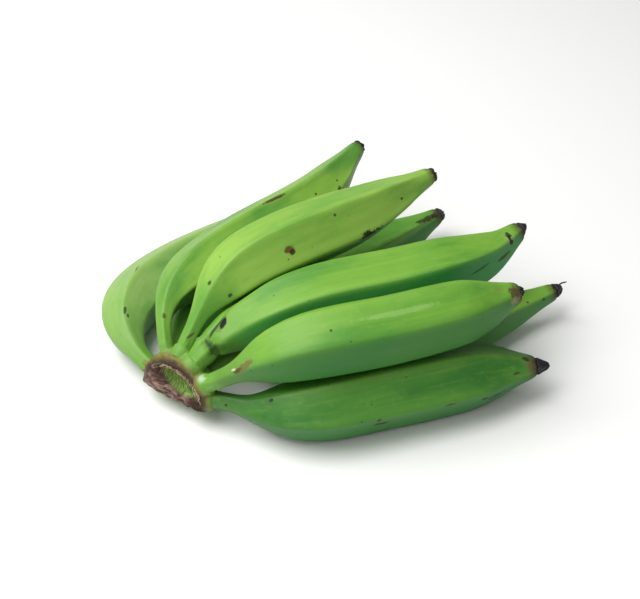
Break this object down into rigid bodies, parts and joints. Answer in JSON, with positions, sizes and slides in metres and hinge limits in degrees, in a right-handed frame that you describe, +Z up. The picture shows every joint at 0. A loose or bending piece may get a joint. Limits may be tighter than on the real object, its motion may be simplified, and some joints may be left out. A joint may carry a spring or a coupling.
{
  "type": "bunch of bananas",
  "caption": "Hand of green cooking bananas lying down: ridged, curved fingers in two layers, grown from one brown crown, each ending in a dried black blossom end.",
  "frame": {"origin": "middle of the footprint, on the table", "axes": "+X from the crown towards the tips, +Y away from the side the crown's cut face looks to, +Z up"},
  "size_m": [0.3258, 0.2532, 0.101],
  "materials": {
    "peel": "smooth waxy peel, satin",
    "crown_skin": "dry fibrous cut, matt",
    "dried_blossom": "shrivelled and dry, matt"
  },
  "bodies": {
    "root": {"crown": "crown_skin", "finger_1": "peel", "finger_2": "peel", "finger_3": "peel", "finger_4": "peel", "finger_5": "peel", "finger_6": "peel", "finger_7": "peel", "finger_8": "peel", "blossom_end_1": "dried_blossom", "blossom_end_2": "dried_blossom", "blossom_end_3": "dried_blossom", "blossom_end_4": "dried_blossom", "blossom_end_5": "dried_blossom", "blossom_end_6": "dried_blossom", "blossom_end_7": "dried_blossom", "blossom_end_8": "dried_blossom"}
  },
  "joints": []
}
